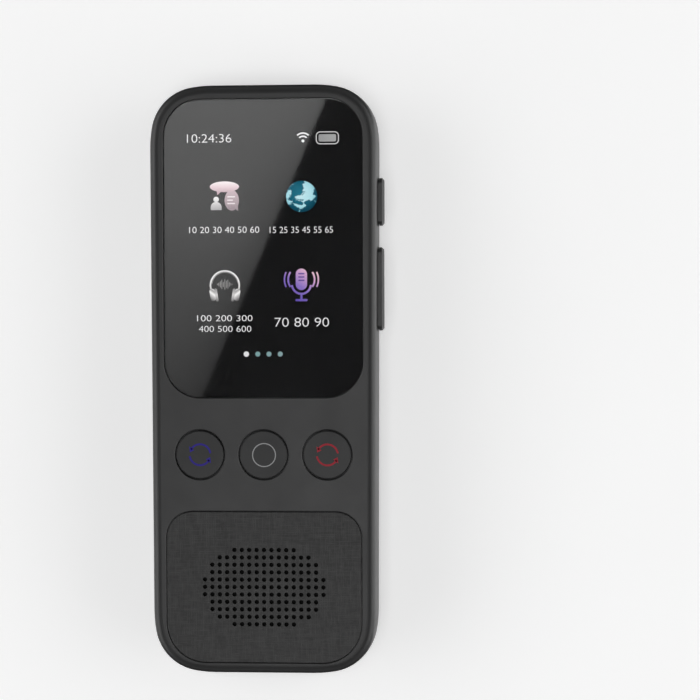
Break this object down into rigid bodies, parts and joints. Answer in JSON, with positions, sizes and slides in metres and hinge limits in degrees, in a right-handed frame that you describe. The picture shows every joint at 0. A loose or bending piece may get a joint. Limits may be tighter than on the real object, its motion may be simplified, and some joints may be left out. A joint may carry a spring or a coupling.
{
  "type": "handheld translator",
  "caption": "Flat handheld voice translator with a glass display window, round keys under it, a perforated speaker panel, side keys and sockets in its end.",
  "frame": {"origin": "centre of the flat back", "axes": "+X towards the side keys, +Y towards the end with the sockets, +Z out of the display"},
  "size_m": [0.0563, 0.141, 0.013],
  "materials": {
    "housing_plastic": "matt fine-grained dark grey moulding",
    "key_plastic": "matt dark grey, thin printed ring",
    "side_key_plastic": "satin dark grey",
    "panel_plastic": "matt dark grey with a fine woven texture",
    "cover_glass": "polished clear glass",
    "mask_black": "black print on film",
    "display_glass": "black, lit picture",
    "adhesive": "black foam tape",
    "white_plastic": "white moulding",
    "steel_sheet": "plain stamped steel",
    "insulating_film": "black film",
    "flex_film": "amber flexible circuit",
    "black_plastic": "black moulding",
    "mesh_fabric": "black woven dust mesh",
    "foam": "black foam",
    "magnet_plating": "nickel plated",
    "copper_wire": "enamelled copper winding",
    "cone_film": "grey formed film",
    "surround_rubber": "black soft rubber",
    "red_lead": "red insulated wire",
    "circuit_board": "green solder mask",
    "chip_epoxy": "black moulded packages",
    "gold_contact": "gold plated springs",
    "battery_pouch": "silver laminate pouch",
    "plug_plastic": "white connector",
    "switch_body": "steel-topped switch bodies",
    "switch_plunger": "black plungers",
    "cable_jacket": "black thin coaxial cable",
    "screw_steel": "zinc plated, cross slot"
  },
  "bodies": {
    "housing": {"front_shell": "housing_plastic", "rear_cover": "housing_plastic", "cover_glass": "cover_glass", "glass_mask": "mask_black", "glass_adhesive": "adhesive", "touch_sensor": "display_glass", "display_cell": "display_glass", "backlight_frame": "white_plastic", "light_guide": "white_plastic", "display_bracket": "steel_sheet", "insulating_sheet": "insulating_film", "display_flex": "flex_film", "display_connector": "black_plastic", "speaker_panel": "panel_plastic", "speaker_mesh": "mesh_fabric", "speaker_gasket": "foam", "speaker_basket": "black_plastic", "speaker_yoke": "steel_sheet", "speaker_magnet": "magnet_plating", "pole_plate": "steel_sheet", "speaker_leads": "red_lead", "main_board": "circuit_board", "shield_can": "steel_sheet", "processor_chip": "chip_epoxy", "memory_chip": "chip_epoxy", "wireless_module": "chip_epoxy", "charging_socket": "steel_sheet", "charging_tongue": "black_plastic", "charging_contacts": "gold_contact", "earphone_socket": "black_plastic", "earphone_contacts": "gold_contact", "battery_cell": "battery_pouch", "battery_tape": "adhesive", "protection_board": "circuit_board", "battery_leads": "red_lead", "battery_plug": "plug_plastic", "key_switches": "switch_body", "side_switches": "switch_body", "side_key_flex": "flex_film", "side_key_bracket": "steel_sheet", "microphones": "switch_body", "mic_boots": "surround_rubber", "mic_board": "circuit_board", "mic_flex": "flex_film", "antenna_strip": "gold_contact", "antenna_cable": "cable_jacket", "screws": "screw_steel"},
    "left_key_set": {"left_key": "key_plastic", "left_plunger": "switch_plunger"},
    "centre_key_set": {"centre_key": "key_plastic", "centre_plunger": "switch_plunger"},
    "right_key_set": {"right_key": "key_plastic", "right_plunger": "switch_plunger"},
    "power_key_set": {"power_key": "side_key_plastic", "power_plunger": "switch_plunger"},
    "volume_key_set": {"volume_key": "side_key_plastic", "volume_plungers": "switch_plunger"},
    "speaker_diaphragm": {"speaker_cone": "cone_film", "cone_surround": "surround_rubber", "voice_coil": "copper_wire"}
  },
  "joints": [
    {"name": "left_key_press", "type": "slide", "parent": "housing", "child": "left_key_set", "axis": [0, 0, -1], "range_m": [0, 0.0003], "stiffness_N_per_m": 3000},
    {"name": "centre_key_press", "type": "slide", "parent": "housing", "child": "centre_key_set", "axis": [0, 0, -1], "range_m": [0, 0.0003], "stiffness_N_per_m": 3000},
    {"name": "right_key_press", "type": "slide", "parent": "housing", "child": "right_key_set", "axis": [0, 0, -1], "range_m": [0, 0.0003], "stiffness_N_per_m": 3000},
    {"name": "power_key_press", "type": "slide", "parent": "housing", "child": "power_key_set", "axis": [-1, 0, 0], "range_m": [0, 0.0003], "stiffness_N_per_m": 3000},
    {"name": "volume_key_rock", "type": "hinge", "parent": "housing", "child": "volume_key_set", "pos_m": [0.0251, 0.02155, 0.0091], "axis": [0, 0, 1], "range_deg": [-1.6, 1.6], "stiffness_Nm_per_rad": 0.6},
    {"name": "speaker_cone_travel", "type": "slide", "parent": "housing", "child": "speaker_diaphragm", "axis": [0, 0, 1], "range_m": [-0.0003, 0.0003], "stiffness_N_per_m": 1500}
  ]
}
